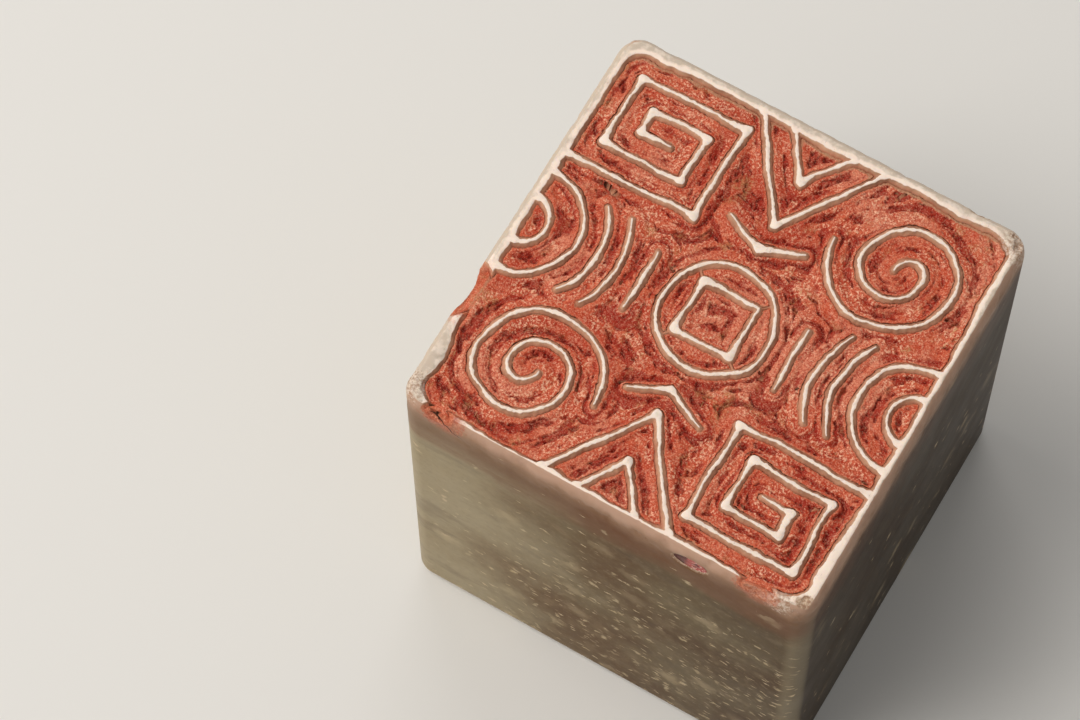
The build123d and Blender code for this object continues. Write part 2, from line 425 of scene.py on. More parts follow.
def buildBlank(look):
    side, height = look["halfSide"], look["height"]
    corner, foot = look["cornerRadius"], look["footRadius"]
    run, drop, tight = look["shoulderRun"], look["shoulderDrop"], look["tightDrop"]
    core, flatRim = side - corner, corner - run
    steps = look["topSteps"]
    shoulderWay = (run + drop) * math.pi / 4              # about the length of its curve
    reach = core + flatRim + shoulderWay                  # along the surface, middle to side
    line = np.linspace(-reach, reach, steps + 1)
    u, v = np.meshgrid(line, line, indexing="ij")
    u, v = u.ravel(), v.ravel()
    coreX, coreY = np.clip(u, -core, core), np.clip(v, -core, core)
    deltaX, deltaY = u - coreX, v - coreY
    out = np.maximum(np.abs(deltaX), np.abs(deltaY))
    length = np.maximum(np.hypot(deltaX, deltaY), 1e-9)
    turn = np.clip((out - flatRim) / shoulderWay, 0, 1) * math.pi / 2
    radial = np.where(out <= flatRim, out, flatRim + run * np.sin(turn))
    topX, topY = coreX + deltaX / length * radial, coreY + deltaY / length * radial
    deeper = np.clip(np.maximum(deltaX, -deltaY) / length, 0, 1)
    topZ = height - (tight + (drop - tight) * deeper) * (1 - np.cos(turn))
    points = [np.stack([topX, topY, topZ], axis=1)]
    index = np.arange((steps + 1) ** 2).reshape(steps + 1, steps + 1)
    squares = np.stack([index[:-1, :-1], index[1:, :-1], index[1:, 1:], index[:-1, 1:]], -1)
    faces = squares.reshape(-1, 4).tolist()

    # Wall and foot follow the rim of the printing face downwards
    rim = np.concatenate([index[:-1, 0], index[-1, :-1], index[:0:-1, -1], index[0, :0:-1]])
    rimCore = np.stack([coreX[rim], coreY[rim]], axis=1)
    rimOut = np.stack([deltaX[rim] / length[rim], deltaY[rim] / length[rim]], axis=1)
    fineStep = look["fineStep"]
    levels = [(corner, z) for z in np.arange(height - drop - fineStep, height - look["fineDepth"], -fineStep)]
    fine = len(levels)
    levels += [(corner, z) for z in np.linspace(height - look["fineDepth"] - 1.3, foot, 16)]
    footTurns = np.radians([18, 36, 54, 72, 90])
    levels += [(corner - foot * (1 - math.cos(a)), foot * (1 - math.sin(a))) for a in footTurns]
    count = (steps + 1) ** 2
    ring = rim
    rimTop = topZ[rim]
    for number, (radius, level) in enumerate(levels):
        if number == fine:
            rimCore, rimOut = rimCore[::4], rimOut[::4]
        plane = rimCore + rimOut * radius
        if number < fine:
            # the first rings start from the uneven rim and become level further down
            heights = rimTop + (levels[fine - 1][1] - rimTop) * (number + 1) / fine
        else:
            heights = np.full(len(plane), level)
        points.append(np.column_stack([plane, heights]))
        lower = count + np.arange(len(plane))
        count += len(plane)
        if number == fine:
            for i in range(len(lower)):
                a = [int(ring[(4 * i + k) % len(ring)]) for k in range(5)]
                low, after = int(lower[i]), int(lower[(i + 1) % len(lower)])
                faces += [(a[0], low, a[1]), (a[1], low, a[2]), (a[2], low, after),
                          (a[2], after, a[3]), (a[3], after, a[4])]
        else:
            faces += np.stack([ring, lower, np.roll(lower, -1), np.roll(ring, -1)], -1).tolist()
        ring = lower
    for share in (0.8, 0.6, 0.4, 0.2):
        plane = (rimCore + rimOut * (corner - foot)) * share
        points.append(np.column_stack([plane, np.zeros(len(plane))]))
        lower = count + np.arange(len(plane))
        count += len(plane)
        faces += np.stack([ring, lower, np.roll(lower, -1), np.roll(ring, -1)], -1).tolist()
        ring = lower
    points.append(np.zeros((1, 3)))
    faces += [(int(a), count, int(b)) for a, b in zip(ring, np.roll(ring, -1))]
    mesh = bpy.data.meshes.new("blank")
    mesh.from_pydata((np.concatenate(points) * mm).tolist(), [], faces)
    return addObject("blank", mesh)


# Broken place: what lies in a rough ball is pushed out to its surface
def buildBreakRule():
    tree, given, result = newTree(
        "breakRule", [("Position", "Vector"), ("Centre", "Vector"), ("Radius", "Float"), ("Stretch", "Vector"),
                      ("Roughness", "Float"), ("Seed", "Float")], [("Position", "Vector"), ("Broken", "Float")])
    out = (given["Position"] - given["Centre"]) / given["Stretch"]
    grain = noise(given["Position"], 1.6, given["Seed"], 3.0) - 0.5
    radius = given["Radius"] + grain * given["Roughness"]
    depth = radius - step("LENGTH", out)
    push = step("NORMALIZE", out) * largest(depth, 0.0) * given["Stretch"]
    feed(given["Position"] + push, result["Position"])
    feed(ramp(depth, -0.04, 0.06), result["Broken"])
    return tree


def buildCarving(rule, breakRule):
    tree, given, result = newTree(
        "carvedStone", [("Geometry", "Geometry")] + guideInputs[1:] + [
            ("Printing Plane", "Float"), ("Relief Depth", "Float"), ("Flank Run", "Float"),
            ("Finish", "Material")],
        [("Geometry", "Geometry")])
    position = pointPlace(tree)
    clearance, groove = placeReliefRule(tree, rule, given, position)
    x, y, z = parts(position)

    # Flank with a rounded lip, a sloping ledge and a steep foot, in small steps left by the knife
    facet = noise(groove, 1.7, given["Seed"], 2.0, 0.6) - 0.5
    along = (clearance + facet * 0.1) / given["Flank Run"]
    lip = ramp(along, 0.0, 0.22, 0.0, 0.12)
    ledge = ramp(along, 0.12, 0.66, 0.0, 0.22, shape="LINEAR")
    foot = ramp(along, 0.6, 1.0, 0.0, 0.66)
    sunk = lip + ledge + foot
    level = given["Printing Plane"] - sunk * given["Relief Depth"]

    # The worn face dips a little here and there
    level = level - ramp(noise(position, 0.35, given["Seed"], 3.0), 0.35, 0.75) * 0.02
    side, plane = block["halfSide"], plan["printingPlane"]
    rim = largest(abs(x), abs(y))
    onTop = ramp(rim, side - 0.02, side - 0.06) * ramp(z, plane - 1.36, plane - 1.3)
    carved = joined(x, y, smallest(z, level))

    # Outside of the border: wear that only takes stone away
    wear = ramp(noise(position, 0.5, given["Seed"], 4.0, 0.6), 0.42, 0.85)
    wear = wear * ramp(z, plane - 5.0, plane - 0.8) * ramp(rim, side - 1.0, side - 0.1)
    carved = carved + step("NORMALIZE", carved * (1, 1, 0)) * (wear * -block["wear"])

    broken = None
    for number, (centre, radius, stretch, rough) in enumerate(block["breaks"]):
        made = addNode(tree, "GeometryNodeGroup", node_tree=breakRule)
        feedAll(made, {"Position": carved, "Centre": centre, "Radius": radius, "Stretch": stretch,
                       "Roughness": rough, "Seed": 7.0 + number})
        carved = wired(made, "Position")
        fresh = wired(made, "Broken")
        broken = fresh if broken is None else largest(broken, fresh)

    geometry = keep(given["Geometry"], "clearance", clearance * onTop + (onTop - 1.0))
    geometry = keep(geometry, "groove", groove, "FLOAT_VECTOR")
    geometry = keep(geometry, "broken", broken)
    geometry = wired(addNode(tree, "GeometryNodeSetPosition", {
        "Geometry": geometry, "Position": carved * mm}))
    finished(geometry, given["Finish"], result)
    return tree


# The seal paste: a grainy crust in every hollow
paste = {
    "step": 0.076,               # mesh step
    "groundLevel": 38.1,
    "thickness": 0.60,           # beside the flank; the middle lies lower
    "sag": 0.13,                 # how much lower the middle of a wide groove lies
    "grain": 0.045,              # height of the crumbs
    "pitDepth": 0.22,
    "bareFlank": 0.62,           # share of the flank's run that the paste leaves bare
    "outerEdge": 17.8,           # how far out it reaches where the border is broken, less some noise
    "leastHeight": 0.06,         # above the ground level
    "belowPlane": 0.12,          # it ends at least this far below the printing plane
    "underGap": 0.02,            # its flat underside lies this far above the ground level
    "weld": 0.004,               # points nearer than this become one
    "width": 36.0,
    "keptFaces": 190000,         # triangles of the open ground after thinning
    "smallFaces": 60000,         # and of a small hollow
}


def buildPaste(rule):
    tree, given, result = newTree(
        "pasteCrust", [("Geometry", "Geometry")] + guideInputs[1:] + [
            ("Ground Level", "Float"), ("Thickness", "Float"), ("Sag", "Float"), ("Grain", "Float"),
            ("Pit Depth", "Float"), ("Flank Run", "Float"), ("Finish", "Material")],
        [("Geometry", "Geometry")])
    seed, ground = given["Seed"], given["Ground Level"]
    width, count = paste["width"] * mm, int(paste["width"] / paste["step"])
    sheet = wired(addNode(tree, "GeometryNodeMeshGrid", {
        "Size X": width, "Size Y": width, "Vertices X": count, "Vertices Y": count}), "Mesh")
    position = pointPlace(tree)
    clearance, groove = placeReliefRule(tree, rule, given, position)
    x, y, _ = parts(position)
    rim = largest(abs(x), abs(y)) + noise(position, 1.3, seed, 3.0) * 0.7
    edge = smallest(clearance - given["Flank Run"] * paste["bareFlank"], paste["outerEdge"] - rim)
    sheet = keep(sheet, "edge", edge)
    sheet = keep(sheet, "groove", groove, "FLOAT_VECTOR")
    gone = wired(addNode(tree, "FunctionNodeCompare", {0: edge, 1: 0.0},
                         data_type="FLOAT", operation="LESS_THAN"))
    sheet = wired(addNode(tree, "GeometryNodeDeleteGeometry", {"Geometry": sheet, "Selection": gone},
                          domain="POINT"))
    sheet = keep(sheet, "island", wired(tree.nodes.new("GeometryNodeInputMeshIsland"), "Island Index"), "INT")
    bottom = wired(addNode(tree, "GeometryNodeSetPosition", {
        "Geometry": sheet, "Position": joined(x, y, ground + paste["underGap"]) * mm}))
    lift = addNode(tree, "GeometryNodeExtrudeMesh", {
        "Mesh": bottom, "Offset": (0, 0, 1), "Offset Scale": 0.2 * mm, "Individual": False})

    # Crumbs away from the flank, smooth creep beside it, torn pits along the middle of wide grooves
    fromEdge, grooveFrame = kept(tree, "edge"), kept(tree, "groove", "FLOAT_VECTOR")
    x, y, _ = parts(pointPlace(tree))
    flat = joined(x, y, 0.0)
    away = ramp(fromEdge, 0.04, 0.36)
    crumbs = 0.35 - wired(cellular(flat, 3.8, "2D"), "Distance")
    grains = noise(flat, 2.6, seed, 3.0, 0.6) - 0.5
    height = (crumbs * 0.9 + grains * 2.2) * given["Grain"] * away
    # long folds beside the strokes, freer ones in wide ground
    bent = grooveFrame + noise(flat, 0.55, seed, 2.0, output="Color") * 1.1
    folds = noise(bent * (0.4, 0.4, 1.9), 1.0, seed, 3.0, 0.55) - 0.5
    streak = noise(bent * (0.3, 0.3, 1.25), 1.0, seed + 5.0, 2.0, 0.5) * 0.72
    streak = streak + noise(flat * (0.75, 0.95, 1.0), 1.0, seed, 2.0, 0.55) * 0.28
    torn = ramp(streak, 0.485, 0.545) * ramp(fromEdge, 0.12, 0.42)
    pit = torn * ramp(noise(bent * (1.5, 1.5, 2.6), 1.0, seed, 3.0, 0.65), 0.49, 0.6)
    height = height + folds * 0.34 * away - torn * 0.07 - pit * given["Pit Depth"]
    swell = (noise(flat, 0.3, seed, 2.0) - 0.5) * 0.14 * away
    swell = swell - ramp(fromEdge, 0.1, 0.9) * given["Sag"]
    top = ground + given["Thickness"] + (height + swell)
    top = largest(top, ground + paste["leastHeight"])
    top = smallest(top, plan["printingPlane"] - paste["belowPlane"])
    raised = wired(addNode(tree, "GeometryNodeSetPosition", {
        "Geometry": wired(lift, "Mesh"), "Selection": wired(lift, "Top"), "Position": joined(x, y, top) * mm}))
    raised = keep(keep(raised, "pit", pit), "torn", torn)
    under = wired(addNode(tree, "GeometryNodeFlipFaces", {"Mesh": bottom}))
    both = tree.nodes.new("GeometryNodeJoinGeometry")
    feed(under, both.inputs[0])
    feed(raised, both.inputs[0])
    merged = addNode(tree, "GeometryNodeMergeByDistance", {
        "Geometry": wired(both), "Distance": paste["weld"] * mm})
    finished(wired(merged), given["Finish"], result)
    return tree


# Colours are written as they look on a screen, 0 to 255
def tint(red, green, blue):
    values = [channel / 255 for channel in (red, green, blue)]
    return tuple(v / 12.92 if v <= 0.04045 else ((v + 0.055) / 1.055) ** 2.4 for v in values) + (1.0,)


def newMaterial(name):
    material = bpy.data.materials.new(name)
    material.use_nodes = True
    tree = material.node_tree
    tree.nodes.clear()
    shader = tree.nodes.new("ShaderNodeBsdfPrincipled")
    feed(wired(shader), tree.nodes.new("ShaderNodeOutputMaterial").inputs["Surface"])
    return material, tree, shader


def blended(amount, first, second):
    made = addNode(amount.tree, "ShaderNodeMix", data_type="RGBA", blend_type="MIX")
    for socket, value in zip([s for s in made.inputs if s.enabled], (amount, first, second)):
        feed(value, socket)
    return Wire([s for s in made.outputs if s.enabled][0])


# Layers in order: the pattern, where it begins and is full, how much of it and of which tone
def layered(colour, look, *layers):
    for pattern, begin, full, most, tone in layers:
        colour = blended(ramp(pattern, begin, full, 0.0, most), colour, look[tone])
    return colour


def bumped(height, strength, distance):
    return wired(addNode(height.tree, "ShaderNodeBump", {
        "Strength": strength, "Distance": distance * mm, "Height": height}))


def readPoint(tree, name, output="Fac"):
    return wired(addNode(tree, "ShaderNodeAttribute", attribute_name=name, attribute_type="GEOMETRY"), output)


def objectPlace(tree):
    return wired(tree.nodes.new("ShaderNodeTexCoord"), "Object") * (1 / mm)


stoneLook = {
    # strokes and border
    "strokeTop": tint(255, 233, 217), "strokeRim": tint(226, 202, 188), "scratch": tint(150, 138, 124),
    "flank": tint(204, 160, 130), "flankDark": tint(168, 124, 98), "chip": tint(210, 186, 162),
    "borderShade": tint(206, 190, 172), "borderPale": tint(230, 214, 198),
    "lightShoulder": tint(198, 162, 140), "shoulder": tint(160, 124, 98),
    # body of the stone; pale and dark also serve as painted light and painted shade on its sides
    "pale": tint(168, 152, 120), "cloudy": tint(178, 158, 124), "speck": tint(208, 186, 148),
    "olive": tint(110, 91, 58), "brown": tint(102, 75, 46), "warm": tint(116, 72, 44),
    "deepBrown": tint(70, 50, 32), "dark": tint(40, 28, 16), "crack": tint(58, 34, 22),
    # smeared paste
    "stain": tint(190, 92, 64), "stainDark": tint(150, 56, 36), "stainPale": tint(226, 146, 112),
    # soft spots, crumbs and dashes: stretch of the pattern, share, strength, full and outer reach
    "flecks": [((0.34, 0.34, 0.44), 0.55, 0.34, 0.05, 0.46), ((0.95, 0.95, 1.3), 0.36, 0.7, 0.1, 0.34),
               ((0.85, 0.85, 3.0), 0.5, 0.95, 0.14, 0.3)],
    # smears of paste on the shoulder, and rubbed, crumbly corners: centre and reach
    "smears": [((13.4, -18.0, 38.4), 2.3), ((-14.0, -18.0, 38.4), 2.2), ((-17.8, -7.6, 38.6), 3.2)],
    "rubbed": [((17.4, 17.0, 39.0), 2.0), ((15.2, -17.9, 38.4), 1.5), ((-17.2, -16.6, 38.9), 1.5)],
    # where more of the border is white, and where more of it is grey: centre, full and outer reach, amount
    "paleBorder": ((17.8, -13.8, 39.0), 2.0, 4.5, 0.7),
    "greyBorder": ((-17.4, -14.6, 39.0), 1.5, 4.0, 0.4),
}


def stoneMaterial(look):
    material, tree, shader = newMaterial("sealStone")
    place = objectPlace(tree)
    x, y, z = parts(place)
    cloud = noise(place, 0.1, 3.0, 4.0, 0.55)
    fine = noise(place, 0.45, 5.0, 4.0, 0.55)
    body = blended(ramp(cloud, 0.36, 0.64), look["olive"], look["brown"])
    # the stone is paler towards the -X end and darker towards +X, partly its own tone and partly painted light
    # that falls off across the sides, with cloudy bedding all through it
    bedding = noise(place * (0.1, 0.12, 0.34), 1.0, 8.0, 5.0, 0.62)
    drift = x + (cloud - 0.5) * 22.0 + (bedding - 0.5) * 9.0
    grit = noise(place, 2.2, 6.0, 4.0, 0.65)
    body = layered(
        # pale towards -X and dark towards +X along drift: partly painted light and painted shade of the falloff
        # across the sides
        body, look, (drift, 0.0, -17.0, 0.9, "pale"), (drift, -2.0, 17.5, 0.4, "dark"),
        (bedding, 0.52, 0.7, 0.16, "cloudy"), (bedding, 0.47, 0.32, 0.3, "deepBrown"),
        (fine, 0.5, 0.68, 0.16, "cloudy"), (grit, 0.5, 0.66, 0.07, "speck"),
        # the x layer from 17.0 to 17.95 darkens the +X side: painted shade of the side turned away from the key
        # lamp, with some of the stone's own darker tone
        (grit, 0.47, 0.34, 0.12, "deepBrown"), (x, 17.0, 17.95, 0.7, "dark"),
        # the x - y layer pales the near vertical edge between the -Y and +X sides: a painted highlight of the
        # rounded edge
        (x - y, 34.2, 34.9, 0.4, "pale"))
    # warmer under the printing face, most of all on the lit side
    under = z + (bedding - 0.5) * 11.0
    warmth = ramp(under, 30.0, 35.0) * ramp(y, -16.4, -17.8, 0.25, 0.7)
    body = blended(warmth, body, look["warm"])

    # pale flecks: short dashes along the bedding, crumbs, and soft large spots, more of them lower down
    lower = ramp(z, 20.0, 35.5, 0.9, 0.06) * ramp(drift, -15.0, 0.0, 0.35, 1.0)
    lower = lower * ramp(x, 17.0, 17.9, 1.0, 0.4)
    warp = noise(place, 0.9, 4.0, 3.0, 0.6, "Color") - middleGrey
    for number, (spread, share, strength, inner, outer) in enumerate(look["flecks"]):
        moved = place + warp * (2.4 - 0.6 * number)
        cells = cellular(moved * spread + (3.7 * number, 1.9, 0.4), 1.0, "3D")
        chance, size, paleness = parts(wired(cells, "Color"))
        away = wired(cells, "Distance") / (size + 0.5)
        grow = step("LESS_THAN", chance, lower * share) * ramp(away, inner, outer, strength, 0.0)
        body = blended(grow * ramp(paleness, 0.0, 0.8, 0.3, 1.0), body, look["speck"])
    bevel = z + (fine - 0.5) * 2.6
    body = layered(body, look, (bevel, 35.3, 38.4, 0.95, "shoulder"),
                   (bevel, 37.4, 39.0, 0.85, "lightShoulder"))
    behind = ramp(largest(x * -1.0, y), 17.2, 17.7) * ramp(bevel, 36.6, 38.6)
    body = blended(behind * 0.9, body, look["borderShade"])

    # printing face: flat tops, tinted rims and bare flanks
    clearance = readPoint(tree, "clearance")
    high = ramp(z, 38.92, 38.965)
    mottle = ramp(noise(place, 0.8, 9.0, 5.0, 0.6), 0.5, 0.72, 0.0, 0.6)
    mottle = largest(mottle, ramp(clearance, -0.05, 0.02, 0.0, 0.4))
    topColour = blended(mottle, look["strokeTop"], look["strokeRim"])
    # only a band beside the carving is rubbed white, the rest of the border keeps its handled tone
    handled = clearance + (noise(place, 0.7, 2.0, 4.0, 0.6) - 0.5) * 0.9
    border = ramp(noise(place, 1.6, 5.0, 4.0, 0.6), 0.42, 0.62)
    borderTone = blended(border, look["borderShade"], look["borderPale"])

    def spot(centre, full, reach, amount):
        return ramp(step("DISTANCE", place, centre), full, reach, amount, 0.0)

    handled = handled + spot(*look["paleBorder"]) - spot(*look["greyBorder"])
    topColour = blended(ramp(handled, -0.2, -0.44, 0.0, 0.95), topColour, borderTone)
    colour = blended(high, body, topColour)
    cut = ramp(clearance, 0.0, 0.06)
    flankColour = blended(ramp(fine, 0.4, 0.65), look["flank"], look["flankDark"])
    colour = blended(cut, colour, flankColour)
    low = ramp(z + fine * 0.16, 38.94, 38.8)
    colour = blended(low * cut * 0.4, colour, look["stain"])

    broken = readPoint(tree, "broken")
    crumbs = noise(place, 3.4, 12.0, 4.0, 0.7)
    chipTone = blended(ramp(crumbs, 0.42, 0.58), look["chip"], look["shoulder"])
    colour = blended(broken * 0.85, colour, chipTone)

    def around(spots):
        mask = None
        for centre, reach in spots:
            near = step("DISTANCE", place, centre) + (crumbs - 0.5) * 3.2
            near = ramp(near, 0.55 * reach, reach, 1.0, 0.0)
            mask = near if mask is None else largest(mask, near)
        return mask

    rubbed = around(look["rubbed"])
    speckled = ramp(noise(place, 4.2, 2.0, 3.0, 0.7), 0.38, 0.62)
    speckled = blended(speckled, look["shoulder"], look["borderPale"])
    colour = blended(rubbed * 0.7, colour, speckled)
    smeared = around(look["smears"]) * ramp(z, 36.0, 38.3) * ramp(fine, 0.34, 0.56, 0.35, 1.0)
    grainy = noise(place, 4.5, 3.0, 3.0, 0.7)
    smearTone = blended(ramp(grainy, 0.5, 0.64), look["stain"], look["stainPale"])
    smearTone = blended(ramp(grainy, 0.46, 0.36), smearTone, look["stainDark"])
    colour = blended(smeared * 0.85, colour, smearTone)

    # one hairline crack that runs down from the left end of the lit side
    track = (x + 15.4) * 0.52 + (noise(place, 0.8, 1.0, 3.0) - 0.5) * 1.3
    away = abs(38.75 - z - track)
    crack = ramp(away, 0.03, 0.12, 1.0, 0.0) * ramp(y, -17.0, -17.3)
    crack = crack * (ramp(x, -15.8, -15.3) * ramp(x, -12.0, -12.9))
    colour = blended(crack, colour, look["crack"])

    # fine scratches over the flat tops
    scratch = noise(place * (9.0, 1.2, 1.0), 1.0, 2.0, 3.0, 0.7)
    across = noise(place * (1.4, 8.0, 1.0), 1.0, 6.0, 3.0, 0.7)
    lines = largest(ramp(scratch, 0.62, 0.7), ramp(across, 0.64, 0.72)) * high
    colour = blended(lines * 0.45, colour, look["scratch"])

    coarse = largest(cut, broken, rubbed)
    relief = lines * -0.5 + crack * -2.0 + (coarse + high * 0.3) * crumbs
    relief = relief + noise(place, 0.7, 1.0, 2.0) * 0.8
    feedAll(shader, {
        "Base Color": colour, "Roughness": ramp(cloud, 0.3, 0.7, 0.34, 0.46) + coarse * 0.2,
        "Normal": bumped(relief, 0.5, 0.06), "Specular IOR Level": 0.06, "Subsurface Weight": 0.2,
        "Subsurface Radius": (1.0, 0.72, 0.45), "Subsurface Scale": 1.2 * mm})
    return material


pasteLook = {
    "smooth": tint(212, 104, 72), "crumb": tint(198, 80, 50), "dim": tint(172, 46, 22),
    "deep": tint(152, 26, 10), "pit": tint(112, 5, 2), "dust": tint(252, 194, 160),
    "fibre": tint(210, 164, 112), "straw": tint(180, 130, 84),
    "film": tint(168, 122, 92), "filmPale": tint(190, 150, 118),   # over the foot of the flanks
}


def pasteMaterial(look):
    material, tree, shader = newMaterial("sealPaste")
    place = objectPlace(tree)
    edge = readPoint(tree, "edge")
    groove = readPoint(tree, "groove", "Vector")
    pit = readPoint(tree, "pit")
    away = ramp(edge, 0.05, 0.36)
    grains = noise(place, 3.8, 1.0, 4.0, 0.75)
    patches = noise(place, 0.42, 4.0, 3.0, 0.55)
    colour = blended(ramp(noise(place, 1.1, 7.0, 4.0, 0.6), 0.36, 0.62), look["crumb"], look["smooth"])
    tone = noise(place, 0.17, 3.0, 2.0)
    colour = layered(colour, look, (tone, 0.5, 0.62, 0.2, "dust"), (tone, 0.48, 0.36, 0.55, "dim"))
    colour = blended(ramp(grains, 0.5, 0.38) * 0.85, colour, look["dim"])
    colour = layered(colour, look, (edge, 0.3, 0.04, 0.7, "smooth"))

    # dark shade over the torn middle of a groove, darkest in its pits
    torn = readPoint(tree, "torn")
    fine = noise(place, 5.5, 3.0, 3.0, 0.7)
    tornShade = torn * ramp(fine, 0.34, 0.6, 1.0, 0.74)
    colour = blended(tornShade * 0.95, colour, look["deep"])
    pitShade = pit * ramp(fine, 0.38, 0.62, 1.0, 0.7)
    colour = blended(pitShade * 0.9, colour, look["pit"])

    # fine pale grains, dense in some patches, and straw-coloured stretches
    crumbs = noise(place, 5.2, 6.0, 3.0, 0.7)
    patchy = ramp(patches, 0.42, 0.58, 0.3, 0.95)
    bright = ramp(crumbs, 0.5, 0.6) * patchy * ramp(torn, 0.2, 0.9, 1.0, 0.2)
    colour = blended(bright * ramp(edge, 0.02, 0.25, 0.25, 0.9), colour, look["dust"])
    wide = ramp(parts(groove)[2], 0.8, 1.6)
    straw = wide * ramp(noise(place, 0.7, 9.0, 3.0, 0.6), 0.5, 0.64, 0.0, 0.65)
    colour = blended(straw * ramp(fine, 0.4, 0.56), colour, look["straw"])

    finest = noise(place, 8.5, 2.0, 2.0, 0.6)
    colour = layered(colour, look, (finest, 0.5, 0.36, 0.45, "deep"), (finest, 0.53, 0.66, 0.32, "dust"))

    # straw-coloured fibres and scratches in the wide parts
    drawn = noise(groove * (1.2, 1.2, 8.0), 1.0, 2.0, 2.0, 0.6)
    crossed = noise(place * (6.0, 1.1, 1.0), 1.0, 8.0, 2.0, 0.6)
    fibres = largest(ramp(drawn, 0.64, 0.71), ramp(crossed, 0.65, 0.71))
    fibres = fibres * (wide * ramp(patches, 0.45, 0.6, 0.1, 0.8))
    colour = blended(fibres, colour, look["fibre"])

    # thin film over the foot of the flank, the stone shows through
    film = edge + (noise(place, 1.9, 4.0, 3.0) - 0.5) * 0.34
    x, y, _ = parts(place)
    film = ramp(film - ramp(y, 15.7, 16.5, 0.0, 0.2), 0.0, 0.12, 0.75, 0.0)
    film = film * ramp(largest(abs(x), abs(y)), 16.9, 17.1, 1.0, 0.0)
    filmTone = blended(ramp(fine, 0.4, 0.6), look["film"], look["filmPale"])
    colour = blended(film, colour, filmTone)
    feedAll(shader, {
        "Base Color": colour, "Roughness": ramp(crumbs, 0.35, 0.65, 0.62, 0.4),
        "Normal": bumped(crumbs * away + grains * 0.7, 0.8, 0.09), "Specular IOR Level": 0.15,
        "Subsurface Weight": 0.08, "Subsurface Radius": (1.0, 0.3, 0.2), "Subsurface Scale": 0.4 * mm})
    return material


def finishMesh(mesh):
    places = np.empty(len(mesh.vertices) * 3)
    mesh.vertices.foreach_get("co", places)
    places = np.clip(places.reshape(-1, 3), np.array(cadBox[0]) + 2e-7, np.array(cadBox[1]) - 2e-7)
    mesh.vertices.foreach_set("co", places.ravel())
    mesh.shade_smooth()
    mesh.validate()


def addPiece(name, mesh, nodes):
    piece = addObject(name, mesh)
    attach(piece, "root")
    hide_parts(*nodes)


def thinned(mesh, name, wanted, onlyPoints=None):
    triangles = sum(len(p.vertices) - 2 for p in mesh.polygons)
    carrier = addObject("thinning", mesh)
    if triangles > wanted:
        # where points are named, such as those of a flat underside, only these are thinned out
        modifier = carrier.modifiers.new("thin", "DECIMATE")
        modifier.ratio = wanted / triangles
        modifier.use_collapse_triangulate = True
        if onlyPoints is not None:
            group = carrier.vertex_groups.new(name="under")
            group.add(onlyPoints, 1.0, "REPLACE")
            modifier.vertex_group = "under"
    result = baked(carrier, name)
    bpy.data.objects.remove(carrier)
    return result


guides = buildGuides()
reliefRule = buildReliefRule()
guideValues = {"Strokes": guides["strokeLines"], "Stroke Ends": guides["strokeEnds"],
               "Stroke Joints": guides["strokeJoints"], "Stroke Width": plan["strokeWidth"],
               "Wander": plan["wander"], "Seed": plan["seed"]}
print("carving guides ready")

stoneFinish = stoneMaterial(stoneLook)
blank = buildBlank(block)
addTree(blank, buildCarving(reliefRule, buildBreakRule()), {
    **guideValues, "Printing Plane": plan["printingPlane"], "Relief Depth": plan["reliefDepth"],
    "Flank Run": plan["flankRun"], "Finish": stoneFinish})
carvedMesh = baked(blank, "carved")
bpy.data.objects.remove(blank)
stoneMesh = thinned(carvedMesh, "stoneBlock", block["keptFaces"])
finishMesh(stoneMesh)
addPiece("stoneBlock", stoneMesh, ["stone_block"])
print("stone carved:", len(stoneMesh.polygons), "faces")

# Where each deposit lies in the plan
coinGap, rippleInner, rippleOuter = (share * roundReach for share in (0.1975, 0.055, 0.195))
hollows = {
    "paste_coin_centre": (middleX, middleY),
    "paste_coin_right": (middleX + coinGap, middleY),
    "paste_coin_left": (middleX - coinGap, middleY),
    "paste_coin_back": (middleX, middleY + coinGap),
    "paste_coin_front": (middleX, middleY - coinGap),
    "paste_wave_inner_right": (plan["fieldRight"] - rippleInner, middleY),
    "paste_wave_outer_right": (plan["fieldRight"] - rippleOuter, middleY),
    "paste_wave_inner_left": (plan["fieldLeft"] + rippleInner, middleY),
    "paste_wave_outer_left": (plan["fieldLeft"] + rippleOuter, middleY),
    "paste_peak_inner_back": placed((0.0, 0.93)),
    "paste_peak_outer_back": placed((0.0, 0.66)),
    "paste_peak_inner_front": placed((0.0, 0.93), -1),
    "paste_peak_outer_front": placed((0.0, 0.66), -1),
}


# The number of the island that each deposit is, and the island of each point
def splitPaste(mesh):
    count = len(mesh.vertices)
    points = np.empty(count * 3)
    mesh.vertices.foreach_get("co", points)
    points = points.reshape(-1, 3) / mm
    island = np.empty(count, dtype=np.int32)
    mesh.attributes["island"].data.foreach_get("value", island)
    owner = {}
    for name, (x, y) in hollows.items():
        owner[name] = int(island[int(np.argmin(np.hypot(points[:, 0] - x, points[:, 1] - y)))])
    sizes = np.bincount(island)
    owner["paste_ground"] = int(np.argmax(sizes))
    print("paste islands:", len(sizes), "owners:", owner)
    return owner, island


def islandMesh(source, keepMask, name):
    copy = source.copy()
    copy.name = name
    work = bmesh.new()
    work.from_mesh(copy)
    work.verts.ensure_lookup_table()
    dropped = [point for point, inside in zip(work.verts, keepMask) if not inside]
    bmesh.ops.delete(work, geom=dropped, context="VERTS")
    work.to_mesh(copy)
    work.free()
    return copy


